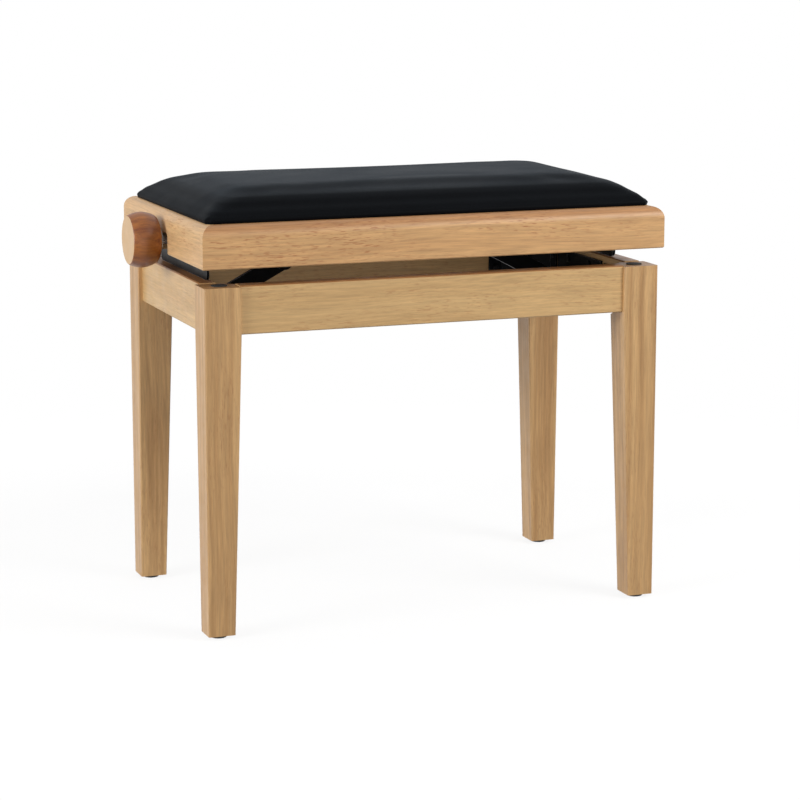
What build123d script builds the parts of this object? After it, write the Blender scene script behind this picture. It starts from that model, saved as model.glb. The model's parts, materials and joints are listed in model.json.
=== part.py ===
"""Height-adjustable piano bench, in millimetres.

X is the bench's length (the knob is at -X), Y its depth (front at -Y), Z is up from the floor.
The origin is on the floor under the middle of the seat. The seat is modelled at its lowest setting.

Each side has one half-scissor: a lever from the base to a spindle nut, and a link half as long from
the lever's middle to a pivot on the seat, straight above the lever's foot. Turning the knob draws the
two nuts apart or together, and the seat goes straight up or down.
"""
from build123d import *
import os
from math import cos, radians, sin, sqrt

# ---- driving dimensions -------------------------------------------------------------------------
SEAT_LENGTH = 550          # outside of the seat frame, along X
SEAT_DEPTH = 332           # outside of the seat frame, along Y
SEAT_RAIL_THICK = 22
SEAT_BOTTOM_Z = 415
SEAT_TOP_Z = 462.5         # where the cushion board lies
SEAT_EDGE_RADIUS = 13      # rounding of the rails' upper outer edge
EASED_EDGE = 1.2

BASE_LENGTH = 543          # outside of the legs
BASE_DEPTH = 316.5
LEG_TOP_X = 42             # leg section at the aprons
LEG_TOP_Y = 38.5
LEG_FOOT = 31              # leg section at the floor
LEG_TOP_Z = 394
LEG_BOTTOM_Z = 4
LEG_CHAMFER = 12           # flat across the leg's inner corner, where the hanger bolt enters
APRON_THICK = 20
APRON_BOTTOM_Z = 341
APRON_TOP_Z = 395
FRONT_APRON_INSET = 4.3    # behind the legs' outer faces
SIDE_APRON_INSET = 5.4

PIVOT_X = 219.7            # lever feet and link heads, left and right of the centre
BASE_PIVOT_Z = 356
SEAT_PIVOT_Z = 445
REST_ANGLE = 27.7          # lever's slope at the lowest setting, degrees
BAR_WIDTH = 20.5
BAR_THICK = 5
PIVOT_ROD_R = 4
RUNNING_GAP = 0.05         # radial clearance of a pivot
OPEN_PIVOT_GAP = 0.3       # radial clearance of the right link's upper pivot
TUBE_R = 7
TUBE_HALF = 55.5           # half length of the pivot tubes
EAR_INNER_Y = 56
STEEL = 3                  # sheet thickness of the brackets

SPINDLE_R = 6
SPINDLE_Z = 430.4
NUT_HALF_Y = 10
NUT_HALF_X = 12
KNOB_OUTER_X = -314
KNOB_INNER_X = -280
KNOB_FACE_R = 28
KNOB_BELLY_R = 31.5
KNOB_NECK_R = 20           # at the face towards the rail
KNOB_EASE = 0.8            # the outer face's eased edge

CUSHION_LENGTH = 531
CUSHION_DEPTH = 298
CUSHION_TOP_Z = 496
BOARD_THICK = 9

# ---- worked out from them -----------------------------------------------------------------------
LEVER_LENGTH = (SEAT_PIVOT_Z - BASE_PIVOT_Z) / sin(radians(REST_ANGLE))
LEVER_REACH = LEVER_LENGTH * cos(radians(REST_ANGLE))
MID_X = PIVOT_X - LEVER_REACH / 2      # where lever and link are riveted together
MID_Z = (BASE_PIVOT_Z + SEAT_PIVOT_Z) / 2
NUT_X = PIVOT_X - LEVER_REACH
SEAT_INNER_X = SEAT_LENGTH / 2 - SEAT_RAIL_THICK
SEAT_INNER_Y = SEAT_DEPTH / 2 - SEAT_RAIL_THICK
APRON_INNER_X = BASE_LENGTH / 2 - SIDE_APRON_INSET - APRON_THICK
APRON_INNER_Y = BASE_DEPTH / 2 - FRONT_APRON_INSET - APRON_THICK
LEG_INNER_X = BASE_LENGTH / 2 - LEG_TOP_X
LEG_INNER_Y = BASE_DEPTH / 2 - LEG_TOP_Y
CORNERS = [(sx, sy) for sy in (-1, 1) for sx in (-1, 1)]
SIDES = ("left", "right")


# ---- helpers ------------------------------------------------------------------------------------
def block(low, high):
    """A box between two opposite corners."""
    size = [b - a for a, b in zip(low, high)]
    return Pos(*low) * Box(*size, align=(Align.MIN,) * 3)


def rod(start, direction, radius, length):
    """A round bar that starts at a point and runs along a direction."""
    return Plane(origin=start, z_dir=direction) * Cylinder(
        radius, length, align=(Align.CENTER, Align.CENTER, Align.MIN)
    )


def ring(start, direction, outer, inner, length):
    """A round sleeve or washer."""
    return rod(start, direction, outer, length) - rod(start, direction, inner, length)


def hexagon(start, direction, across_flats, length):
    """A six-sided bar."""
    outline = RegularPolygon(across_flats / sqrt(3), 6)
    return extrude(Plane(origin=start, z_dir=direction) * outline, length)


def turned(shape):
    """The same piece on the other side, half a turn round the bench's upright centre line."""
    return Rot(0, 0, 180) * shape


def on_side(side, shape):
    """A piece made for the left side, placed on the side asked for."""
    return shape if side == "left" else turned(shape)


def mirrored(shape, sx, sy):
    """A piece made for the corner at +X +Y, mirrored into the corner with the signs sx, sy."""
    if sx < 0:
        shape = mirror(shape, Plane.YZ)
    if sy < 0:
        shape = mirror(shape, Plane.XZ)
    return shape


def group(solids):
    """Several separate solids kept in one node."""
    return Compound(children=[s for shape in solids for s in shape.solids()])


def pan_screw(face, direction, radius, length, head_radius=None, head_height=1.8):
    """A screw whose domed head stands on a face; direction is the way that the screw goes in."""
    head_radius = head_radius or 2 * radius
    back = Vector(*direction) * -1
    head = rod(face, back, head_radius, head_height)
    head = chamfer(head.edges().group_by(Axis(face, back))[-1], head_height * 0.45)
    return head + rod(face, direction, radius, length)


def flat_screw(face, direction, radius, length):
    """A screw whose cone-shaped head lies flush in a face."""
    height = 1.4
    head = Plane(origin=face, z_dir=direction) * Cone(
        radius + height, radius, height, align=(Align.CENTER, Align.CENTER, Align.MIN)
    )
    return head + rod(face, direction, radius, length)


# ---- base: legs and aprons ----------------------------------------------------------------------
SCOOP_R = 10               # where the flat on a leg's inner corner runs out
SCOOP_Z = APRON_BOTTOM_Z + 3


def leg():
    """A leg for the corner at +X +Y: its outer faces are upright and its inner ones taper."""
    outer_x, outer_y = BASE_LENGTH / 2, BASE_DEPTH / 2

    def section(z, width, depth):
        outline = Rectangle(width, depth)
        outline = chamfer(outline.vertices(), EASED_EDGE)
        return Plane.XY.offset(z) * Pos(outer_x - width / 2, outer_y - depth / 2) * outline

    foot = section(LEG_BOTTOM_Z, LEG_FOOT, LEG_FOOT)
    knee = section(APRON_BOTTOM_Z, LEG_TOP_X, LEG_TOP_Y)
    upper = extrude(knee, LEG_TOP_Z - APRON_BOTTOM_Z)
    lower = loft([foot, knee], ruled=True)
    body = upper + lower
    # the flat across the inner corner runs out below the aprons in a quarter-round scoop
    inward = Plane(
        origin=(LEG_INNER_X + LEG_CHAMFER / 2, LEG_INNER_Y + LEG_CHAMFER / 2, SCOOP_Z),
        x_dir=(1, -1, 0),
        z_dir=(-1, -1, 0),
    )
    height = LEG_TOP_Z - SCOOP_Z + 1
    flat = inward * Pos(0, height / 2, SCOOP_R / 2) * Box(2 * LEG_TOP_X, height, SCOOP_R)
    scoop = inward * Pos(0, 0, SCOOP_R) * Rot(0, 90, 0) * Cylinder(SCOOP_R, 2 * LEG_TOP_X)
    return body - flat - scoop


def apron(length, inner, along_x):
    """A straight rail between two legs, for the rear (along X) or the right (along Y)."""
    half = length / 2
    if along_x:
        bar = block((-half, inner, APRON_BOTTOM_Z), (half, inner + APRON_THICK, APRON_TOP_Z))
        axis = Axis.X
    else:
        bar = block((inner, -half, APRON_BOTTOM_Z), (inner + APRON_THICK, half, APRON_TOP_Z))
        axis = Axis.Y
    return chamfer(bar.edges().filter_by(axis), EASED_EDGE)


# ---- base: corner plates and their fasteners ----------------------------------------------------
PLATE_THICK = 2
PLATE_LOW_Z, PLATE_HIGH_Z = 350, 386
PLATE_OFFSET = 16          # how far the plate cuts the corner, measured along each side from the leg
PLATE_TAB = 18
STUD_R = 4
STUD_Z = (PLATE_LOW_Z + PLATE_HIGH_Z) / 2
STUD_IN_LEG = 25
CORNER_DIR = (-1 / sqrt(2), -1 / sqrt(2), 0)     # from a +X +Y leg towards the middle


def corner_plate():
    """A steel strip across the corner at +X +Y, with a tab flat against each apron."""
    x_side = APRON_INNER_X
    y_side = APRON_INNER_Y
    total = LEG_INNER_X + LEG_INNER_Y - PLATE_OFFSET      # x + y along the slanting face next to the leg
    on_rear = total - y_side                              # x where that face meets the rear apron
    on_side_y = total - x_side                            # y where it meets the side apron
    bend = PLATE_THICK * (sqrt(2) - 1)
    outline = [
        (on_rear - PLATE_TAB, y_side),
        (on_rear, y_side),
        (x_side, on_side_y),
        (x_side, on_side_y - PLATE_TAB),
        (x_side - PLATE_THICK, on_side_y - PLATE_TAB),
        (x_side - PLATE_THICK, on_side_y - bend),
        (on_rear - bend, y_side - PLATE_THICK),
        (on_rear - PLATE_TAB, y_side - PLATE_THICK),
    ]
    plate = extrude(
        Plane.XY.offset(PLATE_LOW_Z) * make_face(Polyline(outline, close=True)),
        PLATE_HIGH_Z - PLATE_LOW_Z,
    )
    return plate - stud() - group(corner_screws_one())


def leg_flat_point():
    """The middle of the flat on the inner corner of the +X +Y leg, at the stud's height."""
    return (LEG_INNER_X + LEG_CHAMFER / 2, LEG_INNER_Y + LEG_CHAMFER / 2, STUD_Z)


def along_corner(distance):
    """A point on the stud's line, at a distance from the leg's flat towards the middle."""
    return tuple(p + distance * d for p, d in zip(leg_flat_point(), CORNER_DIR))


PLATE_FACE = (LEG_CHAMFER + PLATE_OFFSET) / sqrt(2)      # from the leg's flat to the plate
NUT_HEIGHT = 6.5


def stud():
    """The hanger bolt: screwed into the leg, with its free end through the corner plate."""
    length = STUD_IN_LEG + PLATE_FACE + PLATE_THICK + NUT_HEIGHT + 4
    bolt = rod(along_corner(-STUD_IN_LEG), CORNER_DIR, STUD_R, length)
    return chamfer(bolt.edges().filter_by(GeomType.CIRCLE), 0.8)


def hanger_nut():
    """The hexagon nut that draws the leg against the aprons."""
    start = along_corner(PLATE_FACE + PLATE_THICK)
    nut = hexagon(start, CORNER_DIR, 13, NUT_HEIGHT)
    return nut - rod(start, CORNER_DIR, STUD_R, NUT_HEIGHT)


def corner_screws_one():
    """Two screws through each tab of the +X +Y corner plate."""
    total = LEG_INNER_X + LEG_INNER_Y - PLATE_OFFSET
    rear_x = total - APRON_INNER_Y - PLATE_TAB / 2
    side_y = total - APRON_INNER_X - PLATE_TAB / 2
    screws = []
    for z in (PLATE_LOW_Z + 8, PLATE_HIGH_Z - 8):
        screws.append(pan_screw((rear_x, APRON_INNER_Y - PLATE_THICK, z), (0, 1, 0), 1.9, 16))
        screws.append(pan_screw((APRON_INNER_X - PLATE_THICK, side_y, z), (1, 0, 0), 1.9, 16))
    return screws


# ---- base: glides and pads ----------------------------------------------------------------------
GLIDE_R = 9.5
NAIL_R = 1.3
PAD_R = 9
PAD_THICK = 1
PAD_X, PAD_Y = 249.5, 140    # on the leg's top


def glide_centre():
    """The middle of the foot at +X +Y."""
    return (BASE_LENGTH / 2 - LEG_FOOT / 2, BASE_DEPTH / 2 - LEG_FOOT / 2)


def foot_glide():
    """A round plastic glide under a leg, with a nail through its middle."""
    x, y = glide_centre()
    glide = rod((x, y, 0), (0, 0, 1), GLIDE_R, LEG_BOTTOM_Z)
    glide = chamfer(glide.edges().group_by(Axis.Z)[0], 0.9)
    return glide - glide_nail()


def glide_nail():
    """The nail that holds a glide to its leg."""
    x, y = glide_centre()
    head = rod((x, y, 1.2), (0, 0, 1), 3, 1)
    return head + rod((x, y, 2.2), (0, 0, 1), NAIL_R, 16)


def leg_pad():
    """A round rubber pad glued on a leg's top."""
    pad = rod((PAD_X, PAD_Y, LEG_TOP_Z), (0, 0, 1), PAD_R, PAD_THICK)
    return fillet(pad.edges().group_by(Axis.Z)[-1], 0.4)


# ---- the pressed-steel brackets that carry the pivots -------------------------------------------
EAR_WIDTH = 24
SHELF_REACH = 38           # how far a bracket's shelf stands in from the wood
BASE_BRACKET_HALF = 62
BASE_BRACKET_HIGH_Z = 388
SEAT_BRACKET_FRONT_Y = -105     # the left seat bracket's ends; the right one is turned round
SEAT_BRACKET_REAR_Y = 82
SEAT_BRACKET_LOW_Z = APRON_TOP_Z + 0.5
BUSH_R = 8


def ear(pivot_z, shelf_z, y_low):
    """An upright lug round a pivot on the left side, joined to the shelf above or below it."""
    half = EAR_WIDTH / 2
    round_end = rod((-PIVOT_X, y_low, pivot_z), (0, 1, 0), half, STEEL)
    low, high = sorted((pivot_z, shelf_z))
    neck = block((-PIVOT_X - half, y_low, low), (-PIVOT_X + half, y_low + STEEL, high))
    return round_end + neck


def two_ears(pivot_z, shelf_z):
    """The lugs at the front and rear of a bracket."""
    return ear(pivot_z, shelf_z, EAR_INNER_Y) + ear(pivot_z, shelf_z, -EAR_INNER_Y - STEEL)


def base_bracket():
    """The left bracket on the base: a plate on the side apron, a shelf under the lever and two lugs."""
    face = -APRON_INNER_X
    half = BASE_BRACKET_HALF
    plate = block((face, -half, APRON_BOTTOM_Z), (face + STEEL, half, BASE_BRACKET_HIGH_Z))
    shelf = block((face, -half, APRON_BOTTOM_Z), (face + SHELF_REACH, half, APRON_BOTTOM_Z + STEEL))
    whole = plate + shelf + two_ears(BASE_PIVOT_Z, APRON_BOTTOM_Z + STEEL / 2)
    return whole - pivot_rod(BASE_PIVOT_Z) - group(base_bracket_screws_one())


def base_bracket_screws_one():
    """The four screws of the left base bracket."""
    face = -APRON_INNER_X + STEEL
    return [
        pan_screw((face, y, z), (-1, 0, 0), 2.3, 18)
        for y in (-30, 30)
        for z in (APRON_BOTTOM_Z + 11, BASE_BRACKET_HIGH_Z - 8)
    ]


def seat_bracket():
    """The left bracket on the seat: a plate on the side rail, a shelf under the board and two lugs.

    Its plate hangs below the wooden rail, and its lower edge rests above the side apron when the seat
    is right down. The spindle's bush sits in a hole through the plate.
    """
    face = -SEAT_INNER_X
    front, rear = SEAT_BRACKET_FRONT_Y, SEAT_BRACKET_REAR_Y
    plate = block((face, front, SEAT_BRACKET_LOW_Z), (face + STEEL, rear, SEAT_TOP_Z))
    shelf = block((face, front, SEAT_TOP_Z - STEEL), (face + SHELF_REACH + 7, rear, SEAT_TOP_Z))
    corners = plate.edges().filter_by(Axis.X).group_by(Axis.Z)[0]
    plate = fillet(corners, 6)
    whole = plate + shelf + two_ears(SEAT_PIVOT_Z, SEAT_TOP_Z - STEEL / 2)
    hole = rod((face - 1, 0, SPINDLE_Z), (1, 0, 0), BUSH_R, STEEL + 2)
    return whole - hole - pivot_rod(SEAT_PIVOT_Z) - group(seat_bracket_screws_one() + board_screws_one())


def seat_bracket_screws_one():
    """The four screws that hold the left seat bracket to the side rail."""
    face = -SEAT_INNER_X + STEEL
    return [
        pan_screw((face, y, z), (-1, 0, 0), 2.3, 15)
        for y in (-92, -36, 36, 70)
        for z in ((SEAT_BOTTOM_Z + 12,) if abs(y) > 50 else (SEAT_TOP_Z - 16,))
    ]


def board_screws_one():
    """The four screws that go up through the left bracket's shelf into the seat board."""
    face = SEAT_TOP_Z - STEEL
    return [
        pan_screw((-PIVOT_X - 12, y, face), (0, 0, 1), 2.0, STEEL + BOARD_THICK - 2)
        for y in (-90, -30, 30, 70)
    ]


def pivot_rod(z):
    """A left pivot rod, held in both lugs of a bracket."""
    half = EAR_INNER_Y + STEEL + 4
    bar = rod((-PIVOT_X, -half, z), (0, 1, 0), PIVOT_ROD_R, 2 * half)
    return chamfer(bar.edges().filter_by(GeomType.CIRCLE), 0.6)


def rod_clips_one(z):
    """The push-on clips at the ends of a left pivot rod."""
    start = EAR_INNER_Y + STEEL
    return [
        ring((-PIVOT_X, y, z), (0, 1, 0), PIVOT_ROD_R + 3, PIVOT_ROD_R, 1)
        for y in (start + 0.2, -start - 1.2)
    ]


# ---- levers, links and nuts ---------------------------------------------------------------------
LEVER_Y = -NUT_HALF_Y - 0.3            # inner face of the left lever's bar
LINK_Y = LEVER_Y - BAR_THICK - 0.3     # inner face of the left link's bar
RIVET_R = 4


def flat_bar(start, end, inner_y, end_radius):
    """A flat bar with round ends, on edge between two points of an XZ plane; it reaches out to -Y."""
    (x0, z0), (x1, z1) = start, end
    direction = Vector(x1 - x0, 0, z1 - z0)
    middle = ((x0 + x1) / 2, inner_y, (z0 + z1) / 2)
    plane = Plane(origin=middle, x_dir=direction, z_dir=(0, -1, 0))
    outline = Rectangle(direction.length, 2 * end_radius)
    for x in (-direction.length / 2, direction.length / 2):
        outline += Pos(x, 0) * Circle(end_radius)
    bar = extrude(plane * outline, BAR_THICK)
    return bar


def pivot_tube(z):
    """The solid bar of a left pivot tube, before it is bored."""
    return rod((-PIVOT_X, -TUBE_HALF, z), (0, 1, 0), TUBE_R, 2 * TUBE_HALF)


def pivot_bore(z, gap):
    """What the bore of a left pivot tube takes out."""
    return rod((-PIVOT_X, -TUBE_HALF - 1, z), (0, 1, 0), PIVOT_ROD_R + gap, 2 * TUBE_HALF + 2)


def bar_hole(x, z, inner_y, radius):
    """What a hole through a flat bar takes out."""
    return rod((x, inner_y + 1, z), (0, -1, 0), radius, BAR_THICK + 2)


def lever():
    """The left lever: a flat bar welded to the tube that turns on the base's pivot rod."""
    bar = flat_bar((-PIVOT_X, BASE_PIVOT_Z), (-NUT_X, SEAT_PIVOT_Z), LEVER_Y, BAR_WIDTH / 2)
    trunnion_hole = bar_hole(-NUT_X, SEAT_PIVOT_Z, LEVER_Y, PIVOT_ROD_R + RUNNING_GAP)
    rivet_hole = bar_hole(-MID_X, MID_Z, LEVER_Y, RIVET_R)
    body = bar + pivot_tube(BASE_PIVOT_Z) - pivot_bore(BASE_PIVOT_Z, RUNNING_GAP)
    return body - trunnion_hole - rivet_hole


def link(upper_gap):
    """The left link: a flat bar half the lever's length, welded to the tube under the seat bracket."""
    bar = flat_bar((-MID_X, MID_Z), (-PIVOT_X, SEAT_PIVOT_Z), LINK_Y, BAR_WIDTH / 2)
    rivet_hole = bar_hole(-MID_X, MID_Z, LINK_Y, RIVET_R + RUNNING_GAP)
    return bar + pivot_tube(SEAT_PIVOT_Z) - pivot_bore(SEAT_PIVOT_Z, upper_gap) - rivet_hole


def rivet():
    """The rivet through the left lever and link: its tail is set flush in the lever."""
    length = -(LINK_Y - BAR_THICK) + LEVER_Y + 0.3
    shank = rod((-MID_X, LEVER_Y, MID_Z), (0, -1, 0), RIVET_R, length)
    head = rod((-MID_X, LINK_Y - BAR_THICK - 0.3, MID_Z), (0, -1, 0), RIVET_R + 3, 2.6)
    head = fillet(head.edges().group_by(Axis.Y)[0], 1.6)
    return shank + head


def spindle_nut():
    """The left spindle nut: a block threaded on the spindle, with one trunnion in the lever's end."""
    top = SEAT_PIVOT_Z + PIVOT_ROD_R + 3
    low = SPINDLE_Z - SPINDLE_R - 4.4
    body = block((-NUT_X - NUT_HALF_X, -NUT_HALF_Y, low), (-NUT_X + NUT_HALF_X, NUT_HALF_Y, top))
    body = chamfer(body.edges().filter_by(Axis.Y), 2.5)
    trunnion = rod((-NUT_X, -NUT_HALF_Y + 1, SEAT_PIVOT_Z), (0, -1, 0), PIVOT_ROD_R, BAR_THICK + 4)
    bore_start = (-NUT_X - NUT_HALF_X - 1, 0, SPINDLE_Z)
    bore = rod(bore_start, (1, 0, 0), SPINDLE_R + RUNNING_GAP, 2 * NUT_HALF_X + 2)
    return body + trunnion - bore


def trunnion_clip():
    """The clip on the left nut's trunnion, outside the lever."""
    start = LEVER_Y - BAR_THICK - 0.3
    return ring((-NUT_X, start, SEAT_PIVOT_Z), (0, -1, 0), PIVOT_ROD_R + 3, PIVOT_ROD_R, 1)


# ---- seat frame ---------------------------------------------------------------------------------
NOTCH_HALF = 24.5
NOTCH_TOP_Z = 439.5


def seat_rail(side):
    """One mitred rail of the seat frame, with its upper outer edge well rounded."""
    ox, oy, ix, iy = SEAT_LENGTH / 2, SEAT_DEPTH / 2, SEAT_INNER_X, SEAT_INNER_Y
    outlines = {
        "front": [(-ox, -oy), (ox, -oy), (ix, -iy), (-ix, -iy)],
        "rear": [(-ox, oy), (ox, oy), (ix, iy), (-ix, iy)],
        "left": [(-ox, -oy), (-ox, oy), (-ix, iy), (-ix, -iy)],
        "right": [(ox, -oy), (ox, oy), (ix, iy), (ix, -iy)],
    }
    outline = make_face(Polyline(outlines[side], close=True))
    rail = extrude(Plane.XY.offset(SEAT_BOTTOM_Z) * outline, SEAT_TOP_Z - SEAT_BOTTOM_Z)
    across = Axis.Y if side in ("front", "rear") else Axis.X
    along = Axis.X if side in ("front", "rear") else Axis.Y
    outermost = 0 if side in ("front", "left") else -1
    edges = rail.edges().filter_by(along)
    outer = edges.group_by(across)[outermost]
    rail = fillet(outer.group_by(Axis.Z)[-1], SEAT_EDGE_RADIUS)
    edges = rail.edges().filter_by(along)
    rail = chamfer(edges.group_by(across)[outermost].group_by(Axis.Z)[0], EASED_EDGE)
    if side == "left":
        notch = block((-ox - 1, -NOTCH_HALF, SEAT_BOTTOM_Z - 1), (-ix + 1, NOTCH_HALF, NOTCH_TOP_Z))
        notch = fillet(notch.edges().filter_by(Axis.X).group_by(Axis.Z)[-1], 5)
        rail -= notch
    return rail


BLOCK_LEG = 30
BLOCK_LOW_Z = SEAT_BOTTOM_Z + 8


def seat_corner_block():
    """A three-cornered glue block inside the corner at +X +Y of the seat frame."""
    x, y = SEAT_INNER_X, SEAT_INNER_Y
    outline = make_face(Polyline([(x, y), (x - BLOCK_LEG, y), (x, y - BLOCK_LEG)], close=True))
    return extrude(Plane.XY.offset(BLOCK_LOW_Z) * outline, SEAT_TOP_Z - BLOCK_LOW_Z)


BRACE_WIDTH = 15
BRACE_LEG = 46
BRACE_THICK = 2
BRACE_INSET = 4


def mitre_brace():
    """A flat steel angle let in flush under the mitre at +X +Y."""
    x, y = SEAT_LENGTH / 2 - BRACE_INSET, SEAT_DEPTH / 2 - BRACE_INSET
    low, high = SEAT_BOTTOM_Z, SEAT_BOTTOM_Z + BRACE_THICK
    brace = block((x - BRACE_LEG, y - BRACE_WIDTH, low), (x, y, high))
    brace += block((x - BRACE_WIDTH, y - BRACE_LEG, low), (x, y, high))
    return brace - group(brace_screws_one())


def brace_screws_one():
    """Two screws in each arm of the brace at +X +Y."""
    x, y = SEAT_LENGTH / 2 - BRACE_INSET, SEAT_DEPTH / 2 - BRACE_INSET
    mid = BRACE_WIDTH / 2
    places = [(x - d, y - mid) for d in (BRACE_LEG - 7, BRACE_WIDTH + 7)]
    places += [(x - mid, y - d) for d in (BRACE_LEG - 7, BRACE_WIDTH + 7)]
    return [flat_screw((px, py, SEAT_BOTTOM_Z), (0, 0, 1), 1.7, 16) for px, py in places]


# ---- seat board and cushion ---------------------------------------------------------------------
BOARD_INSET = 3            # from the cushion's edge
BOARD_BEVEL = 5            # takes the sharp edge off under the cover
BOARD_CORNER = 20


def seat_board():
    """The plywood board that the cushion is made on, with its upper edge bevelled."""
    length, depth = CUSHION_LENGTH - 2 * BOARD_INSET, CUSHION_DEPTH - 2 * BOARD_INSET
    board = Pos(0, 0, SEAT_TOP_Z + BOARD_THICK / 2) * Box(length, depth, BOARD_THICK)
    board = fillet(board.edges().filter_by(Axis.Z), BOARD_CORNER)
    return chamfer(board.faces().sort_by(Axis.Z)[-1].edges(), BOARD_BEVEL)


def cushion():
    """The padded cover over the board: an upright edge and a full, soft rise to a flat top."""

    def section(z, inset, corner):
        return Plane.XY.offset(z) * RectangleRounded(
            CUSHION_LENGTH - 2 * inset, CUSHION_DEPTH - 2 * inset, corner
        )

    edge_z = SEAT_TOP_Z + 4
    # height over the board's underside, inset from the edge, plan corner radius
    slope = [(4, 0, 5), (12.5, 6, 9), (19, 13, 14), (24.5, 20, 19), (29, 29, 24), (31.5, 43, 28)]
    levels = [section(SEAT_TOP_Z + up, inset, corner) for up, inset, corner in slope]
    pad = extrude(section(SEAT_TOP_Z, 0, 5), edge_z - SEAT_TOP_Z)
    pad += loft(levels + [section(CUSHION_TOP_Z, 76, 34)], ruled=True)
    return pad - seat_board()


# ---- height spindle -----------------------------------------------------------------------------
SPINDLE_LEFT_X = KNOB_INNER_X - 22
SPINDLE_RIGHT_X = SEAT_INNER_X - 0.5
WAIST_HALF = 30            # half length of the thinner middle, which parts the two threads
WAIST_R = 4.9
BUSH_FLANGE = 1.5
COLLAR_LENGTH = 9
COLLAR_R = 8.5


def spindle():
    """The spindle: a round bar with a thinner middle. The threads of its two halves aren't cut."""
    bar = rod((SPINDLE_LEFT_X, 0, SPINDLE_Z), (1, 0, 0), SPINDLE_R, SPINDLE_RIGHT_X - SPINDLE_LEFT_X)
    bar = chamfer(bar.edges().filter_by(GeomType.CIRCLE), 0.8)
    waist = ring((-WAIST_HALF, 0, SPINDLE_Z), (1, 0, 0), SPINDLE_R + 1, WAIST_R, 2 * WAIST_HALF)
    return bar - waist


def spindle_bush(side):
    """A flanged bush for the spindle, in the hole of a seat bracket."""
    inner = -SEAT_INNER_X
    sleeve = ring((inner, 0, SPINDLE_Z), (1, 0, 0), BUSH_R, SPINDLE_R + RUNNING_GAP, STEEL + BUSH_FLANGE)
    flange = ring(
        (inner + STEEL, 0, SPINDLE_Z), (1, 0, 0), BUSH_R + 3.5, SPINDLE_R + RUNNING_GAP, BUSH_FLANGE
    )
    return on_side(side, sleeve + flange)


def collar(start_x):
    """A shaft collar with a radial hole for its set screw."""
    sleeve = ring((start_x, 0, SPINDLE_Z), (1, 0, 0), COLLAR_R, SPINDLE_R, COLLAR_LENGTH)
    return sleeve - collar_screw(start_x)


def collar_screw(start_x):
    """The set screw of a collar, pressed on the spindle from below."""
    middle = start_x + COLLAR_LENGTH / 2
    return rod((middle, 0, SPINDLE_Z - SPINDLE_R), (0, 0, -1), 2, COLLAR_R - SPINDLE_R - 0.4)


COLLAR_STARTS = [
    -SEAT_INNER_X - 0.3 - COLLAR_LENGTH,                    # in the left rail's notch
    -SEAT_INNER_X + STEEL + BUSH_FLANGE + 0.3,              # inside the left bracket
    SEAT_INNER_X - STEEL - BUSH_FLANGE - 0.3 - COLLAR_LENGTH,   # inside the right bracket
]


def knob():
    """The turned wooden knob: a flat outer face, a slight belly and a full rounding towards the rail."""
    rim = (KNOB_OUTER_X + KNOB_EASE, KNOB_FACE_R)
    belly = (KNOB_OUTER_X + 14, KNOB_BELLY_R)
    shoulder = (KNOB_INNER_X - 5.5, KNOB_BELLY_R - 3.2)
    neck = (KNOB_INNER_X, KNOB_NECK_R)
    profile = [
        Line((KNOB_OUTER_X, 0), (KNOB_OUTER_X, KNOB_FACE_R - KNOB_EASE)),
        Line((KNOB_OUTER_X, KNOB_FACE_R - KNOB_EASE), rim),
        Spline(rim, belly, shoulder, neck, tangents=((1, 0.42), (0.08, -1))),
        Line(neck, (KNOB_INNER_X, 0)),
        Line((KNOB_INNER_X, 0), (KNOB_OUTER_X, 0)),
    ]
    outline = make_face(Plane.XZ * Wire(profile))
    body = Pos(0, 0, SPINDLE_Z) * revolve(outline, Axis.X, 360)
    hole = rod((SPINDLE_LEFT_X, 0, SPINDLE_Z), (1, 0, 0), SPINDLE_R, 40)
    return body - hole - knob_screw()


def knob_screw():
    """The set screw that holds the knob on the spindle, sunk in its underside."""
    return rod(((KNOB_OUTER_X + KNOB_INNER_X) / 2 + 4, 0, SPINDLE_Z - SPINDLE_R), (0, 0, -1), 2.5, 18)


def knob_washer():
    """The zinc washer between the knob and the collar in the notch."""
    return ring((-SEAT_LENGTH / 2 - 2.5, 0, SPINDLE_Z), (1, 0, 0), 11, SPINDLE_R, 1.6)


# ---- the nodes ----------------------------------------------------------------------------------
def all_corners(shapes):
    """Pieces made for the corner at +X +Y, repeated in all four corners."""
    return group([mirrored(s, sx, sy) for sx, sy in CORNERS for s in shapes])


def both_sides(shapes):
    """Pieces made for the left side, repeated on both sides."""
    return group([on_side(side, s) for side in SIDES for s in shapes])


def corner_name(sx, sy):
    return ("front" if sy < 0 else "rear") + ("_left" if sx < 0 else "_right")


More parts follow.
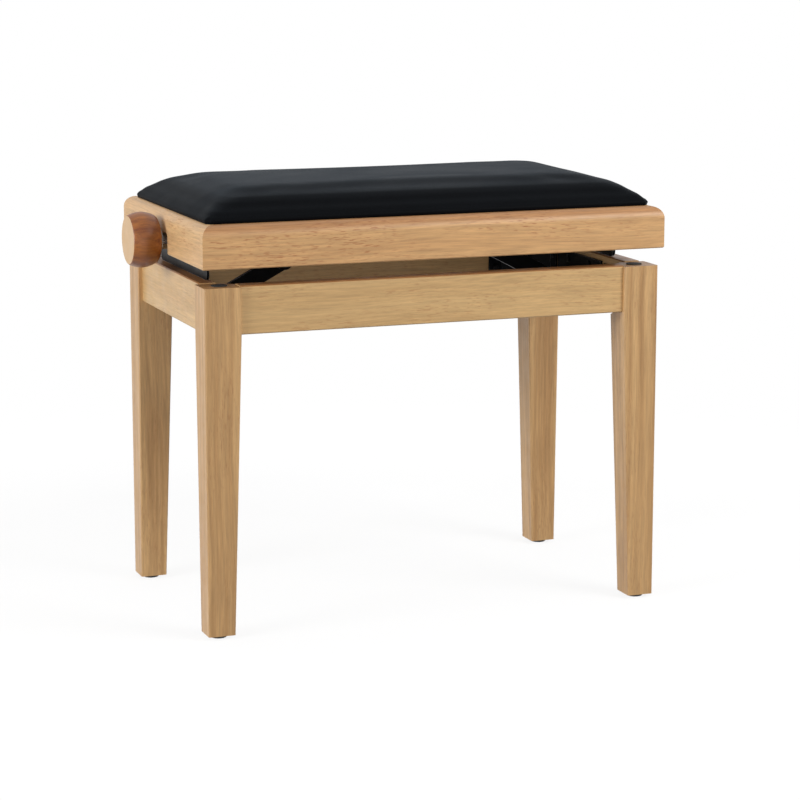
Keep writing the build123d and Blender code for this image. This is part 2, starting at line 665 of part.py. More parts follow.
def make_nodes():
    nodes = {}
    studs = all_corners([stud()])
    nails = all_corners([glide_nail()])
    plate_screws = all_corners(corner_screws_one())
    base_screws = both_sides(base_bracket_screws_one())
    seat_screws = both_sides(seat_bracket_screws_one())
    board_screws = both_sides(board_screws_one())
    brace_screws = all_corners(brace_screws_one())
    braces = all_corners([mitre_brace()])

    for sx, sy in CORNERS:
        nodes[f"leg_{corner_name(sx, sy)}"] = mirrored(leg(), sx, sy) - studs - nails
    front_length = 2 * LEG_INNER_X
    side_length = 2 * LEG_INNER_Y
    rear = apron(front_length, APRON_INNER_Y, True)
    right = apron(side_length, APRON_INNER_X, False)
    nodes["apron_front"] = mirror(rear, Plane.XZ) - plate_screws
    nodes["apron_rear"] = rear - plate_screws
    nodes["apron_left"] = mirror(right, Plane.YZ) - plate_screws - base_screws
    nodes["apron_right"] = right - plate_screws - base_screws
    nodes["corner_plates"] = all_corners([corner_plate()])
    nodes["hanger_bolts"] = studs
    nodes["hanger_nuts"] = all_corners([hanger_nut()])
    nodes["corner_plate_screws"] = plate_screws
    nodes["foot_glides"] = all_corners([foot_glide()])
    nodes["glide_nails"] = nails
    nodes["leg_pads"] = all_corners([leg_pad()])
    nodes["base_bracket_screws"] = base_screws
    nodes["base_pivot_rods"] = both_sides([pivot_rod(BASE_PIVOT_Z)])
    nodes["base_rod_clips"] = both_sides(rod_clips_one(BASE_PIVOT_Z))

    for side in SIDES:
        nodes[f"base_bracket_{side}"] = on_side(side, base_bracket())
        nodes[f"seat_bracket_{side}"] = on_side(side, seat_bracket())
        nodes[f"lever_{side}"] = on_side(side, lever())
        nodes[f"link_{side}"] = on_side(side, link(RUNNING_GAP if side == "left" else OPEN_PIVOT_GAP))
        nodes[f"lever_rivet_{side}"] = on_side(side, rivet())
        nodes[f"spindle_nut_{side}"] = on_side(side, spindle_nut())
        nodes[f"trunnion_clip_{side}"] = on_side(side, trunnion_clip())
        nodes[f"spindle_bush_{side}"] = spindle_bush(side)

    for side in ("front", "rear", "left", "right"):
        nodes[f"seat_rail_{side}"] = seat_rail(side) - braces - brace_screws - seat_screws
    nodes["seat_corner_blocks"] = all_corners([seat_corner_block()])
    nodes["mitre_braces"] = braces
    nodes["mitre_brace_screws"] = brace_screws
    nodes["seat_bracket_screws"] = seat_screws
    nodes["seat_pivot_rods"] = both_sides([pivot_rod(SEAT_PIVOT_Z)])
    nodes["seat_rod_clips"] = both_sides(rod_clips_one(SEAT_PIVOT_Z))
    nodes["seat_board"] = seat_board() - board_screws
    nodes["seat_board_screws"] = board_screws
    nodes["cushion"] = cushion()

    nodes["spindle"] = spindle()
    nodes["knob"] = knob()
    nodes["knob_set_screw"] = knob_screw()
    nodes["knob_washer"] = knob_washer()
    nodes["spindle_collars"] = group([collar(x) for x in COLLAR_STARTS])
    nodes["collar_set_screws"] = group([collar_screw(x) for x in COLLAR_STARTS])
    return nodes


os.makedirs("parts", exist_ok=True)
for name, shape in make_nodes().items():
    export_step(shape, f"parts/{name}.step")
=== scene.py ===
"""Looks of the height-adjustable piano bench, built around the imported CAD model. Units are metres.

X is the bench's length with the knob at -X, the front is -Y, and the floor is z = 0.
"""
import bpy
import json
from math import cos, pi, radians, sin
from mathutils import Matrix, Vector


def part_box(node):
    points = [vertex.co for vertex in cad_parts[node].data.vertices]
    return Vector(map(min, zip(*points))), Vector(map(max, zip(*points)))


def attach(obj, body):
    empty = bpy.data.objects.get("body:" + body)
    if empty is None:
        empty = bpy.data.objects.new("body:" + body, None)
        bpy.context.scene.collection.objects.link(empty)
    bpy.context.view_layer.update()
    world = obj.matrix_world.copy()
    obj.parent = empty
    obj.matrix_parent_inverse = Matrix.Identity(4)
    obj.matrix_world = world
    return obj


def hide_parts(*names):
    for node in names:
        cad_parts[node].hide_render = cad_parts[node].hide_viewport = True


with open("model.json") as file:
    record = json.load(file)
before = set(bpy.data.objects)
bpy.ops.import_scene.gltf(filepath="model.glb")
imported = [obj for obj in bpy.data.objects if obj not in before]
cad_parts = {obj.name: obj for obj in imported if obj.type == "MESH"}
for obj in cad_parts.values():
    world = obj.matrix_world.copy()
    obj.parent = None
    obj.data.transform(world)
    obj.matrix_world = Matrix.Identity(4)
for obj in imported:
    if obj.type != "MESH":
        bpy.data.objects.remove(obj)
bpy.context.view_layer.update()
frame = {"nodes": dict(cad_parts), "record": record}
MM = 0.001


# ---- node helpers -------------------------------------------------------------------------------
class Graph:
    """A material's node tree, built node by node. Sockets and constants both go in as inputs."""

    def __init__(self, name):
        self.material = bpy.data.materials.new(name)
        self.material.use_nodes = True
        self.tree = self.material.node_tree
        self.tree.nodes.clear()

    def add(self, kind, inputs, **settings):
        made = self.tree.nodes.new("ShaderNode" + kind)
        for key, value in settings.items():
            setattr(made, key, value)
        for key, value in inputs.items():
            if isinstance(value, bpy.types.NodeSocket):
                self.tree.links.new(value, made.inputs[key])
            else:
                made.inputs[key].default_value = value
        return made

    def place(self):
        """The point's place in the bench's own frame, in metres."""
        return self.add("TexCoord", {}).outputs["Object"]

    def mapped(self, vector, scale=(1, 1, 1), turn=(0, 0, 0), shift=(0, 0, 0)):
        inputs = {"Vector": vector, "Scale": scale, "Rotation": turn, "Location": shift}
        return self.add("Mapping", inputs).outputs["Vector"]

    def noise(self, vector, scale, detail=2, roughness=0.5, distortion=0):
        inputs = {"Vector": vector, "Scale": scale, "Detail": detail}
        inputs |= {"Roughness": roughness, "Distortion": distortion}
        return self.add("TexNoise", inputs).outputs["Fac"]

    def fit(self, value, low, high, new_low=0.0, new_high=1.0):
        """Maps low..high to new_low..new_high and stays within it."""
        inputs = {"Value": value, "From Min": low, "From Max": high}
        inputs |= {"To Min": new_low, "To Max": new_high}
        return self.add("MapRange", inputs).outputs["Result"]

    def math(self, operation, a, b=0.0):
        return self.add("Math", {0: a, 1: b}, operation=operation).outputs["Value"]

    def mix(self, amount, a, b, kind="MIX"):
        """Colour a blended with colour b."""
        inputs = {0: amount, 6: a, 7: b}
        return self.add("Mix", inputs, data_type="RGBA", blend_type=kind).outputs[2]

    def bump(self, height, distance, strength):
        inputs = {"Height": height, "Distance": distance, "Strength": strength}
        return self.add("Bump", inputs).outputs["Normal"]

    def finish(self, **inputs):
        """Closes the tree with a Principled surface. Its input names come with _ for a space."""
        inputs = {key.replace("_", " "): value for key, value in inputs.items()}
        surface = self.add("BsdfPrincipled", inputs).outputs["BSDF"]
        self.add("OutputMaterial", {"Surface": surface})
        return self.material


def tone(red, green, blue):
    """A colour given in 0-255 display values, as Blender's linear values."""
    shares = (red / 255, green / 255, blue / 255)
    return (*[c / 12.92 if c <= 0.04 else ((c + 0.055) / 1.055) ** 2.4 for c in shares], 1.0)


def scaled(colour, factor):
    return (*[c * factor for c in colour[:3]], 1.0)


# ---- materials ----------------------------------------------------------------------------------
GRAIN_TURN = {"x": (0, 0, 0), "y": (0, 0, radians(90)), "z": (0, radians(90), 0)}
WAVE_LENGTH = 0.3142       # a wave texture of scale 1 repeats after this length
PLY_THICK = 0.0018
WORN_EDGE = 0.0006         # width of the bare metal along an edge of the steel sheet


def grey(g, value):
    """A value socket as a grey colour."""
    return g.add("CombineColor", {0: value, 1: value, 2: value}).outputs[0]


def wood(name, grain, seed, pale, deep, flecks=0.5, streaks=0.5, bands=0.5, roughness=0.42,
         top_shade=0.0, end=None, band_width=0.018):
    """Lacquered rubberwood: soft bands, fine streaks and short reddish-brown pores along one axis.

    The upward-face amount is painted shade: how much an upward face is darkened and reddened where
    less light falls on it, and end is the end grain's colour.
    """
    g = Graph(name)
    shift = (0.37 * seed, 0.61 * seed, 0.83 * seed)
    along = g.mapped(g.place(), turn=GRAIN_TURN[grain], shift=shift)
    wander = g.add("TexNoise", {"Vector": g.mapped(along, (4, 9, 9)), "Scale": 1.0, "Detail": 1})
    drift = g.add("VectorMath", {0: wander.outputs["Color"], 1: (0.5, 0.5, 0.5)},
                  operation="SUBTRACT")
    drift = g.add("VectorMath", {0: drift.outputs[0], "Scale": 0.016}, operation="SCALE")
    bent = g.add("VectorMath", {0: along, 1: drift.outputs[0]}, operation="ADD").outputs[0]

    band = g.noise(g.mapped(bent, (1.6, 1 / band_width, 1 / band_width)), 1, 2, 0.5)
    streak = g.noise(g.mapped(bent, (16, 360, 360)), 1, 3, 0.65)
    fibre = g.noise(g.mapped(bent, (36, 1100, 1100)), 1, 2, 0.6)
    crowd = g.noise(g.mapped(bent, (9, 34, 34)), 1, 2)
    dash = g.noise(g.mapped(bent, (95, 900, 900)), 1, 1)

    colour = g.mix(g.fit(band, 0.32, 0.68, 0.5 - 0.5 * bands, 0.5 + 0.5 * bands), pale, deep)
    darker = g.fit(streak, 0.3, 0.7, 1.0 + 0.14 * streaks, 1.0 - 0.2 * streaks)
    colour = g.mix(1.0, colour, grey(g, darker), "MULTIPLY")
    colour = g.mix(1.0, colour, grey(g, g.fit(fibre, 0.3, 0.7, 1.05, 0.93)), "MULTIPLY")
    pore = g.math("MULTIPLY", g.fit(dash, 0.56, 0.68), g.fit(crowd, 0.36, 0.6))
    brown = g.mix(1.0, deep, (0.62, 0.4, 0.3, 1), "MULTIPLY")
    colour = g.mix(g.math("MULTIPLY", pore, flecks), colour, brown)
    facing = g.add("SeparateXYZ", {0: g.add("TexCoord", {}).outputs["Normal"]})
    # painted shade: upward faces darkened and reddened, standing in for the weaker light on tops
    if top_shade:
        top_shaded = g.mix(1.0, colour, (0.52, 0.36, 0.26, 1), "MULTIPLY")
        colour = g.mix(g.fit(facing.outputs["Z"], 0.15, 0.6, 0, top_shade), colour, top_shaded)
    if end:
        across = g.math("ABSOLUTE", facing.outputs[grain.upper()])
        colour = g.mix(g.fit(across, 0.8, 0.95), colour, g.mix(0.25, end, colour))

    rough = g.fit(g.noise(bent, 60, 3), 0.3, 0.7, roughness - 0.05, roughness + 0.06)
    grain_height = g.math("SUBTRACT", g.math("MULTIPLY", fibre, 0.35), pore)
    normal = g.bump(grain_height, 0.0001, 0.5)
    return g.finish(Base_Color=colour, Roughness=rough, Normal=normal, IOR=1.5, Coat_Weight=0.1,
                    Coat_Roughness=0.3)


def plywood(name):
    """Birch plywood: rotary-cut face veneer below, five plies at the edges."""
    g = Graph(name)
    place = g.place()
    swirl = g.noise(g.mapped(place, (2.2, 16, 16)), 1, 4, 0.55, 1.2)
    fine = g.noise(g.mapped(place, (40, 900, 900)), 1, 2, 0.6)
    face = g.mix(g.fit(swirl, 0.3, 0.7), tone(214, 184, 142), tone(186, 150, 106))
    face = g.mix(g.fit(fine, 0.45, 0.75, 0, 0.35), face, tone(140, 100, 66))
    plies = g.add("TexWave", {"Vector": place, "Scale": WAVE_LENGTH / (2 * PLY_THICK)},
                  bands_direction="Z")
    ply = g.mix(g.fit(plies.outputs["Fac"], 0.4, 0.6), tone(196, 164, 122), tone(128, 92, 60))
    up = g.add("SeparateXYZ", {0: g.add("NewGeometry", {}).outputs["Normal"]}).outputs["Z"]
    flat = g.fit(g.math("ABSOLUTE", up), 0.6, 0.8)
    colour = g.mix(flat, ply, face)
    return g.finish(Base_Color=colour, Roughness=g.fit(swirl, 0.3, 0.7, 0.62, 0.78),
                    Normal=g.bump(fine, 0.0002, 0.4))


def velour(name):
    """Black velour: a short dense pile, unevenly brushed, with a cool sheen at low angles."""
    g = Graph(name)
    place = g.place()
    brushed = g.noise(g.mapped(place, (7, 11, 11)), 1, 3, 0.6, 0.8)
    pile = g.noise(place, 1900, 2, 0.7)
    colour = g.mix(g.fit(brushed, 0.3, 0.7), tone(13, 14, 16), tone(19, 21, 24))
    colour = g.mix(g.fit(pile, 0.35, 0.7), scaled(tone(13, 14, 16), 0.5), colour)
    rough = g.fit(brushed, 0.3, 0.7, 0.46, 0.56)
    normal = g.bump(pile, 0.0002, 0.4)
    return g.finish(Base_Color=colour, Roughness=rough, Normal=normal, Specular_IOR_Level=0.02,
                    Sheen_Weight=0.035, Sheen_Roughness=0.4, Sheen_Tint=tone(150, 190, 225))


def painted_steel(name, base, worn=True):
    """Black painted steel sheet: faint orange peel, dust, and bare metal along the cut edges."""
    g = Graph(name)
    place = g.place()
    peel = g.noise(place, 900, 2, 0.5)
    dust = g.noise(place, 45, 4, 0.65)
    colour = g.mix(g.fit(dust, 0.5, 0.8, 0, 0.5), base, scaled(base, 2.2))
    rough = g.fit(dust, 0.35, 0.7, 0.28, 0.42)
    metal = 0.0
    if worn:
        true_normal = g.add("NewGeometry", {}).outputs["Normal"]
        rounded = g.add("Bevel", {"Radius": WORN_EDGE}, samples=6).outputs["Normal"]
        alike = g.add("VectorMath", {0: true_normal, 1: rounded}, operation="DOT_PRODUCT")
        worn_here = g.fit(alike.outputs["Value"], 0.99, 0.9)
        edge = g.math("MULTIPLY", worn_here, g.fit(dust, 0.4, 0.6, 0.15, 0.8))
        colour = g.mix(edge, colour, tone(150, 152, 155))
        metal = edge
    return g.finish(Base_Color=colour, Roughness=rough, Metallic=metal, Specular_IOR_Level=0.05,
                    Normal=g.bump(peel, 0.00005, 0.3))


def zinc(name, colour_a, colour_b, rough_low=0.26, rough_high=0.42):
    """Zinc-plated steel: cloudy passivation and fine drawing marks."""
    g = Graph(name)
    place = g.place()
    cloud = g.noise(place, 120, 4, 0.6)
    mark = g.noise(g.mapped(place, (60, 1500, 1500)), 1, 2)
    colour = g.mix(g.fit(cloud, 0.35, 0.65), colour_a, colour_b)
    rough = g.fit(cloud, 0.35, 0.65, rough_low, rough_high)
    return g.finish(Base_Color=colour, Roughness=rough, Metallic=1.0,
                    Normal=g.bump(mark, 0.00004, 0.4))


def moulded(name, dark, light, rough_low, rough_high, grain_scale):
    """Moulded plastic or rubber with a fine spark-eroded surface."""
    g = Graph(name)
    place = g.place()
    grain = g.noise(place, grain_scale, 2, 0.6)
    smear = g.noise(place, 70, 3, 0.6)
    colour = g.mix(g.fit(smear, 0.3, 0.7), dark, light)
    rough = g.fit(smear, 0.3, 0.7, rough_low, rough_high)
    return g.finish(Base_Color=colour, Roughness=rough, Normal=g.bump(grain, 0.00008, 0.5))


SEAT_PALE, SEAT_DEEP = tone(210, 166, 113), tone(193, 145, 95)
END_RAIL_PALE, END_RAIL_DEEP = tone(219, 180, 130), tone(206, 163, 114)
APRON_PALE, APRON_DEEP = tone(209, 173, 120), tone(194, 155, 103)
LEG_PALE, LEG_DEEP = tone(205, 164, 112), tone(171, 129, 81)
KNOB_PALE, KNOB_DEEP = tone(164, 100, 40), tone(112, 54, 14)
KNOB_END = tone(224, 188, 138)
BLOCK_PALE, BLOCK_DEEP = tone(206, 176, 134), tone(178, 142, 100)
RAIL_SEED, APRON_SEED, LEG_SEED, KNOB_SEED, BLOCK_SEED = 1.3, 7.1, 12.4, 21.7, 25.2


def set_material(name, material):
    """Gives a CAD node one material in all its slots."""
    mesh = frame["nodes"][name].data
    mesh.materials.clear()
    mesh.materials.append(material)


# the upward-face amounts given to wood() are painted shade on the tops of rails, aprons and legs
def dress_wood():
    """Each piece of wood has its own grain, cut along its own length."""
    for number, side in enumerate(("front", "rear", "left", "right")):
        grain = "x" if side in ("front", "rear") else "y"
        pale, deep = (SEAT_PALE, SEAT_DEEP) if grain == "x" else (END_RAIL_PALE, END_RAIL_DEEP)
        rail = wood(f"seat_wood_{side}", grain, RAIL_SEED + number, pale, deep, flecks=0.7,
                    streaks=1.1, top_shade=0.6 if grain == "x" else 0.05, roughness=0.48)
        set_material(f"seat_rail_{side}", rail)
        apron = wood(f"apron_wood_{side}", grain, APRON_SEED + number, APRON_PALE, APRON_DEEP,
                     flecks=0.4, streaks=0.8, top_shade=1.0)
        set_material(f"apron_{side}", apron)
    for number, corner in enumerate(("front_left", "front_right", "rear_left", "rear_right")):
        leg = wood(f"leg_wood_{corner}", "z", LEG_SEED + number, LEG_PALE, LEG_DEEP, flecks=0.3,
                   bands=0.9, streaks=0.9, top_shade=0.6, band_width=0.008)
        set_material(f"leg_{corner}", leg)
    knob = wood("knob_wood", "x", KNOB_SEED, KNOB_PALE, KNOB_DEEP, bands=0.8, streaks=1.3,
                end=KNOB_END, band_width=0.008)
    set_material("knob", knob)
    block = wood("block_wood", "z", BLOCK_SEED, BLOCK_PALE, BLOCK_DEEP, roughness=0.7)
    set_material("seat_corner_blocks", block)
    set_material("seat_board", plywood("birch_plywood"))


def dress_hardware():
    """Metal and plastic finishes by the record's material slots."""
    finishes = {
        "black_steel": painted_steel("black_paint", tone(15, 16, 18)),
        "black_screw": painted_steel("black_oxide", tone(26, 26, 28), worn=False),
        "plated_steel": zinc("plated_sheet", tone(168, 170, 172), tone(196, 198, 200), 0.3, 0.48),
        "zinc": zinc("zinc_plating", tone(150, 152, 156), tone(182, 184, 188)),
        "rubber": moulded("black_rubber", tone(16, 16, 16), tone(30, 30, 30), 0.7, 0.9, 1500),
        "black_plastic": moulded("black_plastic", tone(14, 14, 15), tone(24, 24, 26), 0.45, 0.6,
                                 2200),
        "bush_plastic": moulded("nylon", tone(216, 214, 204), tone(226, 224, 216), 0.35, 0.5, 1800),
    }
    for part in frame["record"]["subparts"]:
        if part["material_slot"] in finishes:
            set_material(part["node"], finishes[part["material_slot"]])


# ---- pieces -------------------------------------------------------------------------------------
def mesh_of(name, vertices, faces):
    mesh = bpy.data.meshes.new(name)
    mesh.from_pydata(vertices, [], faces)
    return mesh


def tube_mesh(name, rings):
    """A closed skin over rings with the same number of points each."""
    count = len(rings[0])
    vertices = [point for ring in rings for point in ring]
    faces = []
    for level in range(len(rings) - 1):
        for k in range(count):
            a, b = level * count + k, level * count + (k + 1) % count
            faces.append((a, b, b + count, a + count))
    faces.append(tuple(reversed(range(count))))
    faces.append(tuple(range(len(vertices) - count, len(vertices))))
    return mesh_of(name, vertices, faces)


def placed(name, data):
    """A new object with this data, linked into the scene."""
    made = bpy.data.objects.new(name, data)
    bpy.context.scene.collection.objects.link(made)
    return made


def shade(piece, material, smooth=True):
    piece.data.materials.append(material)
    for polygon in piece.data.polygons:
        polygon.use_smooth = smooth


def new_piece(name, mesh, material, body, smooth=True):
    """A finished mesh as an object that rides on a body."""
    piece = placed(name, mesh)
    shade(piece, material, smooth)
    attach(piece, body)
    return piece


CORNER_STEPS = 10


def rounded_outline(half_x, half_y, radius):
    """Corner arcs of a rounded rectangle, as a closed run of (x, y)."""
    points = []
    for quarter in range(4):
        cx = (half_x - radius) * (1 if quarter in (0, 3) else -1)
        cy = (half_y - radius) * (1 if quarter in (0, 1) else -1)
        for k in range(CORNER_STEPS + 1):
            angle = radians(90 * (quarter + k / CORNER_STEPS))
            points.append((cx + radius * cos(angle), cy + radius * sin(angle)))
    return points


# height over the cushion's underside, inset from its edge and plan corner radius, all in mm
PAD_LEVELS = [(0, 2.3, 5), (4, 0.3, 5), (12.5, 7.5, 9), (18.5, 14, 14),
              (23.5, 20, 19), (27.5, 28, 24), (29.8, 42, 28), (31.5, 77, 34)]
ROWS_PER_LEVEL = 4
PAD_CLEAR = 0.0005         # what the levels stay inside the cushion's box
PAD_VOXEL = 0.005
PIN_HEIGHT = 0.009         # the pad doesn't swell below this height over its underside
SWELL_PRESSURE = 4
SWELL_QUALITY = 5
SWELL_FRAMES = 20
SWELL_MOST = 0.0025        # the furthest that a point may move
SWELL_ROUNDS = 8           # of averaging with the neighbours
SWELL_FADE = 0.008         # height over which the swell sets in
BOARD_DEPTH = 0.003        # how far the pad's underside lies up inside the board, out of sight
UNDERSIDE_HEIGHT = 0.0025  # points lower than this are the pad's underside
RIM_FOOT = 0.0023          # how far the cover's lower edge is drawn in from its widest line
RIM_FOOT_HEIGHT = 0.004
RIM_HEIGHT = 0.008
RIM_WIDTH = 0.006          # how far in from the cushion's box a point may lie to be moved out
CORNER_BAND = 0.003        # distance from a corner's diagonal over which the move fades


def between(stops, parts):
    """The stops with more rows between them, on a smooth curve through them all."""
    rows = []
    last = len(stops) - 1
    for k in range(last):
        a, b, c, d = (stops[min(max(k + step, 0), last)] for step in (-1, 0, 1, 2))
        for part in range(parts):
            s = part / parts       # share of the way from this stop to the next
            rows.append(tuple(
                q + 0.5 * s * (r - p + s * (2 * p - 5 * q + 4 * r - w + s * (3 * (q - r) + w - p)))
                for p, q, r, w in zip(a, b, c, d)))
    return rows + [stops[-1]]


def pad_mesh(low, high):
    """The closed pad before it swells: the levels' outlines joined up, in metres."""
    half_x, half_y = (high[0] - low[0]) / 2, (high[1] - low[1]) / 2
    rings = []
    for up, inset, corner in between(PAD_LEVELS, ROWS_PER_LEVEL):
        inset *= MM
        outline = rounded_outline(half_x - inset - PAD_CLEAR, half_y - inset - PAD_CLEAR,
                                  corner * MM)
        rings.append([(x, y, low[2] + up * MM) for x, y in outline])
    return tube_mesh("cushion_cover", rings)


def apply_modifiers(piece):
    """Turns the piece's modifiers into mesh."""
    graph = bpy.context.evaluated_depsgraph_get()
    mesh = bpy.data.meshes.new_from_object(piece.evaluated_get(graph))
    piece.modifiers.clear()
    old = piece.data
    piece.data = mesh
    bpy.data.meshes.remove(old)


def softened(mesh, moves, rounds):
    """Each point's move, averaged with its neighbours', so that no sharp crease is left."""
    near = [[] for _ in moves]
    for edge in mesh.edges:
        a, b = edge.vertices
        near[a].append(b)
        near[b].append(a)
    for _ in range(rounds):
        moves = [(move + sum((moves[k] for k in others), Vector()) / len(others)) / 2
                 for move, others in zip(moves, near)]
    return moves


def swell(piece, fixed_below):
    """Blows the pad up with cloth pressure; the rim under fixed_below stays on the board's edge."""
    start = [v.co.copy() for v in piece.data.vertices]
    pinned = piece.vertex_groups.new(name="rim")
    pinned.add([k for k, co in enumerate(start) if co.z < fixed_below], 1.0, "REPLACE")
    cloth = piece.modifiers.new("cloth", "CLOTH")
    cloth.settings.use_pressure = True
    cloth.settings.uniform_pressure_force = SWELL_PRESSURE
    cloth.settings.effector_weights.gravity = 0
    cloth.settings.vertex_group_mass = "rim"
    cloth.settings.quality = SWELL_QUALITY
    for number in range(1, SWELL_FRAMES + 1):
        bpy.context.scene.frame_set(number)
    graph = bpy.context.evaluated_depsgraph_get()
    shaped = [v.co.copy() for v in piece.evaluated_get(graph).data.vertices]
    piece.modifiers.clear()
    piece.vertex_groups.clear()
    bpy.context.scene.frame_set(1)
    moves = [new - old for old, new in zip(start, shaped)]
    moves = [move * min(1.0, SWELL_MOST / max(move.length, 1e-9)) for move in moves]
    moves = softened(piece.data, moves, SWELL_ROUNDS)
    for vertex, old, move in zip(piece.data.vertices, start, moves):
        share = min(1.0, max(0.0, (old.z - fixed_below) / SWELL_FADE))
        vertex.co = old + move * share


def set_rim(mesh, low, high):
    """Puts the cover's rim back on its outline, outside the board, and its underside inside it."""
    for vertex in mesh.vertices:
        co = vertex.co
        gap_x, gap_y = high[0] - abs(co.x), high[1] - abs(co.y)
        gap, up = min(gap_x, gap_y), co.z - low[2]
        if up < UNDERSIDE_HEIGHT:
            co.z = low[2] + (BOARD_DEPTH if gap > RIM_WIDTH else 0.0)
        if gap > RIM_WIDTH or up > RIM_HEIGHT:
            continue
        wanted = RIM_FOOT * max(0.1, 1 - up / RIM_FOOT_HEIGHT)
        share = min(1.0, 2 * (1 - up / RIM_HEIGHT))
        if abs(gap_x - gap_y) < CORNER_BAND:
            share *= abs(gap_x - gap_y) / CORNER_BAND
        outward = max(0.0, gap - wanted) * share
        if gap_x < gap_y:
            co.x += outward if co.x > 0 else -outward
        else:
            co.y += outward if co.y > 0 else -outward


def cushion_cover():
    """The upholstered pad over the board, swollen by a cloth simulation."""
    low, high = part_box("cushion")
    piece = placed("cushion_cover", pad_mesh(low, high))
    remesh = piece.modifiers.new("remesh", "REMESH")
    remesh.mode = "VOXEL"
    remesh.voxel_size = PAD_VOXEL
    apply_modifiers(piece)
    swell(piece, low[2] + PIN_HEIGHT)
    smooth = piece.modifiers.new("smooth", "SMOOTH")
    smooth.iterations = 2
    smooth.factor = 0.4
    finer = piece.modifiers.new("finer", "SUBSURF")
    finer.levels = finer.render_levels = 1
    apply_modifiers(piece)

    set_rim(piece.data, low, high)
    shade(piece, velour("black_velour"))
    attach(piece, "seat")
    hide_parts("cushion")


THREAD_PITCH = 0.004
THREAD_FROM, THREAD_TO = 0.030, 0.178
THREAD_DEPTH = 0.0008
THREAD_STEP = 0.0005
FLANK = 0.14               # each flank's share of a turn
FLANK_DOWN_AT, FLANK_UP_AT = 0.36, 0.86
FADE_OUTSIDE, FADE_INSIDE = 0.004, 0.002       # over which the thread runs out at its two ends
WAIST_R = 0.0049
SPINDLE_EASE = 0.0008
SPINDLE_AROUND = 28


def thread_dip(x, angle):
    """The trapezoidal thread's depth at a place on the spindle; each half has its own hand."""
    turn = (abs(x) / THREAD_PITCH - angle / (2 * pi)) % 1.0
    down = min(1.0, max(0.0, (turn - FLANK_DOWN_AT) / FLANK))
    up = min(1.0, max(0.0, (turn - FLANK_UP_AT) / FLANK))
    fade = min(1.0, (THREAD_TO - abs(x)) / FADE_OUTSIDE, (abs(x) - THREAD_FROM) / FADE_INSIDE)
    return THREAD_DEPTH * (down - up) * max(0.0, fade)


def threaded_spindle():
    """The spindle with the two trapezoidal threads that its solid leaves out."""
    low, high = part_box("spindle")
    radius = (high[2] - low[2]) / 2
    middle_y, middle_z = (low[1] + high[1]) / 2, (low[2] + high[2]) / 2
    ease = SPINDLE_EASE
    stations = [(low[0], radius - ease), (low[0] + ease, radius), (-THREAD_TO - 0.001, radius)]
    steps = round((THREAD_TO - THREAD_FROM) / THREAD_STEP)
    thread = [THREAD_FROM + k * THREAD_STEP for k in range(steps + 1)]
    stations += [(-x, radius) for x in reversed(thread)]
    stations += [(-THREAD_FROM + 0.0001, WAIST_R), (THREAD_FROM - 0.0001, WAIST_R)]
    stations += [(x, radius) for x in thread]
    stations += [(THREAD_TO + 0.001, radius), (high[0] - ease, radius), (high[0], radius - ease)]
    rings = []
    for x, r in stations:
        ring = []
        for k in range(SPINDLE_AROUND):
            angle = 2 * pi * k / SPINDLE_AROUND
            here = r - (thread_dip(x, angle) if THREAD_FROM <= abs(x) <= THREAD_TO else 0.0)
            ring.append((x, middle_y + here * cos(angle), middle_z + here * sin(angle)))
        rings.append(ring)
    mesh = tube_mesh("threaded_spindle", rings)
    zinc_plating = bpy.data.materials["zinc_plating"]
    piece = new_piece("threaded_spindle", mesh, zinc_plating, "height_spindle")
    piece.data.set_sharp_from_angle(angle=radians(25))
    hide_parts("spindle")


def boxes_mesh(name, boxes):
    """One mesh of separate boxes, each given by its lowest and highest corner."""
    vertices, faces = [], []
    for (x0, y0, z0), (x1, y1, z1) in boxes:
        k = len(vertices)
        vertices += [(x, y, z) for z in (z0, z1) for y in (y0, y1) for x in (x0, x1)]
        faces += [(k + a, k + b, k + c, k + d) for a, b, c, d in (
            (0, 2, 3, 1), (4, 5, 7, 6), (0, 1, 5, 4), (2, 6, 7, 3), (0, 4, 6, 2), (1, 3, 7, 5))]
    return mesh_of(name, vertices, faces)


TURN_IN_HALF_X = 0.221
TURN_IN_OUTER_Y, TURN_IN_INNER_Y = 0.1435, 0.116
TURN_IN_CUTS = 60
CLOTH_THICK = 0.0006
STAPLE_Y = 0.128
STAPLE_PITCH = 0.025
STAPLES_EACH_WAY = 8       # on both sides of the middle one
STAPLE_HALF_LENGTH = 0.005
STAPLE_HALF_WIDTH = 0.0006
STAPLE_HEIGHT = 0.0012


def cover_turn_in():
    """The cloth's turned-in edge under the board, front and rear, with a hand-cut rim."""
    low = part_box("seat_board")[0][2]
    cuts = TURN_IN_CUTS
    vertices, faces = [], []
    for side in (-1, 1):
        for k in range(cuts + 1):
            x = TURN_IN_HALF_X * (2 * k / cuts - 1)
            wander = 0.0012 * sin(61 * x + side) + 0.0007 * sin(173 * x)
            for y in (side * TURN_IN_OUTER_Y, side * (TURN_IN_INNER_Y + wander)):
                vertices += [(x, y, low), (x, y, low - CLOTH_THICK)]
        first = len(vertices) - 4 * (cuts + 1)
        for k in range(cuts):
            a, b = first + 4 * k, first + 4 * (k + 1)
            faces += [(a + i, b + i, b + j, a + j) for i, j in ((0, 2), (2, 3), (3, 1), (1, 0))]
        last = first + 4 * cuts
        faces += [(first + 1, first, first + 2, first + 3), (last, last + 1, last + 3, last + 2)]
    mesh = mesh_of("cover_turn_in", vertices, faces)
    new_piece("cover_turn_in", mesh, bpy.data.materials["black_velour"], "seat")


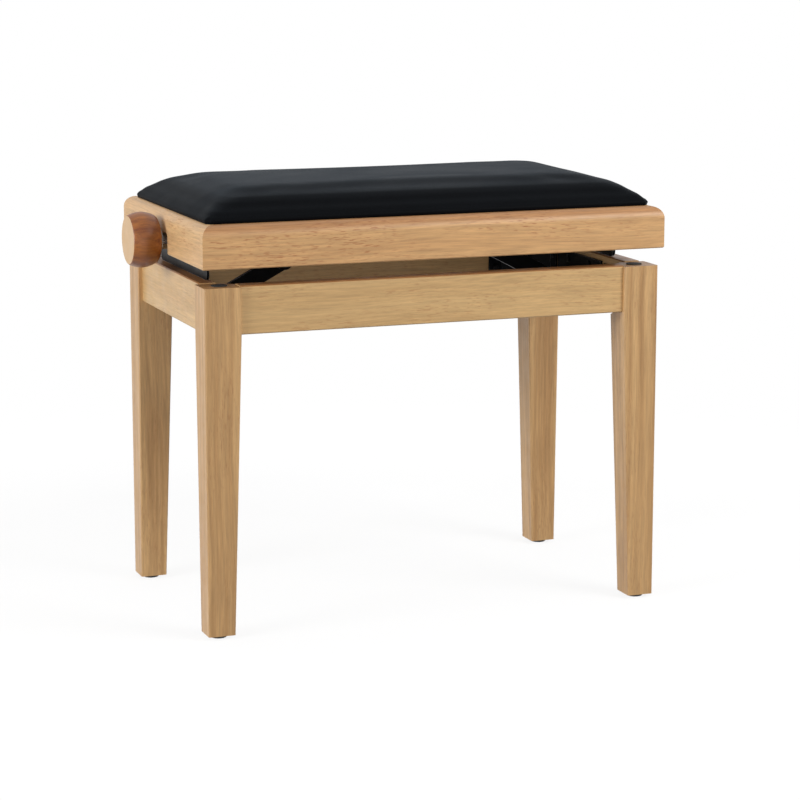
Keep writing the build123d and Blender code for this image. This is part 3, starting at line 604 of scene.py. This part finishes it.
def cover_staples():
    """The staples that hold the cloth's turned-in edge, in a row along the front and the rear."""
    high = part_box("seat_board")[0][2] - CLOTH_THICK
    staples = []
    for side in (-1, 1):
        for k in range(-STAPLES_EACH_WAY, STAPLES_EACH_WAY + 1):
            x, y = k * STAPLE_PITCH, side * STAPLE_Y
            staples.append(((x - STAPLE_HALF_LENGTH, y - STAPLE_HALF_WIDTH, high - STAPLE_HEIGHT),
                            (x + STAPLE_HALF_LENGTH, y + STAPLE_HALF_WIDTH, high)))
    mesh = boxes_mesh("cover_staples", staples)
    zinc_plating = bpy.data.materials["zinc_plating"]
    new_piece("cover_staples", mesh, zinc_plating, "seat", smooth=False)


dress_wood()
dress_hardware()
cushion_cover()
threaded_spindle()
cover_turn_in()
cover_staples()


# ---- floor, light and camera --------------------------------------------------------------------
FLOOR_RADIUS = 2.6
FLOOR_AROUND = 64
AMBIENT_LOW, AMBIENT_HIGH = 0.08, 0.34     # strength of diffuse light from below and from above


def studio_floor():
    """A faint white floor that takes a soft shadow and fades into the background."""
    turns = [2 * pi * k / FLOOR_AROUND for k in range(FLOOR_AROUND)]
    ring = [(FLOOR_RADIUS * cos(turn), FLOOR_RADIUS * sin(turn), 0) for turn in turns]
    floor = placed("studio_floor", mesh_of("studio_floor", ring, [tuple(range(FLOOR_AROUND))]))
    g = Graph("studio_white")
    reach = g.add("VectorMath", {0: g.place()}, operation="LENGTH").outputs["Value"]
    diffuse = g.add("BsdfDiffuse", {"Color": (0.92, 0.92, 0.92, 1)}).outputs[0]
    clear = g.add("BsdfTransparent", {}).outputs[0]
    fading = g.fit(reach, 0.6, 1.2, 0.86, 1.0)
    surface = g.add("MixShader", {0: fading, 1: diffuse, 2: clear}).outputs[0]
    g.add("OutputMaterial", {"Surface": surface})
    floor.data.materials.append(g.material)


def softbox(name, place, target, size, watts):
    """A rectangular white lamp at a place, turned towards its target."""
    light = bpy.data.lights.new(name, "AREA")
    light.shape = "RECTANGLE"
    light.size, light.size_y = size
    light.energy = watts
    lamp = placed(name, light)
    lamp.location = place
    lamp.rotation_euler = (Vector(target) - Vector(place)).to_track_quat("-Z", "Y").to_euler()


def surroundings():
    """A white room to look at and to mirror, which lights the bench dimly, and less from below."""
    world = bpy.data.worlds.new("studio")
    world.use_nodes = True
    tree = world.node_tree
    bpy.context.scene.world = world
    background = tree.nodes["Background"]
    background.inputs["Color"].default_value = (1, 1, 1, 1)
    rays = tree.nodes.new("ShaderNodeLightPath")
    split = tree.nodes.new("ShaderNodeSeparateXYZ")
    tree.links.new(tree.nodes.new("ShaderNodeTexCoord").outputs["Generated"], split.inputs[0])
    slope = tree.nodes.new("ShaderNodeMapRange")
    tree.links.new(split.outputs["Z"], slope.inputs["Value"])
    slope.inputs["From Min"].default_value = -0.5
    slope.inputs["From Max"].default_value = 0.3
    slope.inputs["To Min"].default_value = AMBIENT_LOW
    slope.inputs["To Max"].default_value = AMBIENT_HIGH
    pick = tree.nodes.new("ShaderNodeMix")
    tree.links.new(rays.outputs["Is Diffuse Ray"], pick.inputs[0])
    pick.inputs[2].default_value = 1.0
    tree.links.new(slope.outputs["Result"], pick.inputs[3])
    tree.links.new(pick.outputs[0], background.inputs["Strength"])


def studio():
    studio_floor()
    surroundings()
    bpy.context.scene.view_settings.view_transform = "Standard"
    middle = (0, 0, 0.35)
    softbox("key", (1.3, -1.45, 1.4), middle, size=(1.0, 0.8), watts=29.5)
    softbox("front_fill", (-0.9, -2.9, 0.5), middle, size=(1.2, 0.8), watts=6)
    softbox("side", (-3.4, -0.9, 1.2), middle, size=(1.4, 1.6), watts=86)


CAMERA_PLACE = (-1.0616, -2.86955, 0.80876)
CAMERA_TILT, CAMERA_HEADING = 79.215, -20.54       # degrees: up from straight down, and about Z
CAMERA_LENS, CAMERA_SENSOR = 118.48, 36            # focal length and sensor width in mm


def camera():
    data = bpy.data.cameras.new("camera")
    data.sensor_width = CAMERA_SENSOR
    data.lens = CAMERA_LENS
    eye = placed("camera", data)
    eye.location = CAMERA_PLACE
    eye.rotation_euler = (radians(CAMERA_TILT), 0, radians(CAMERA_HEADING))
    bpy.context.scene.camera = eye


studio()
camera()
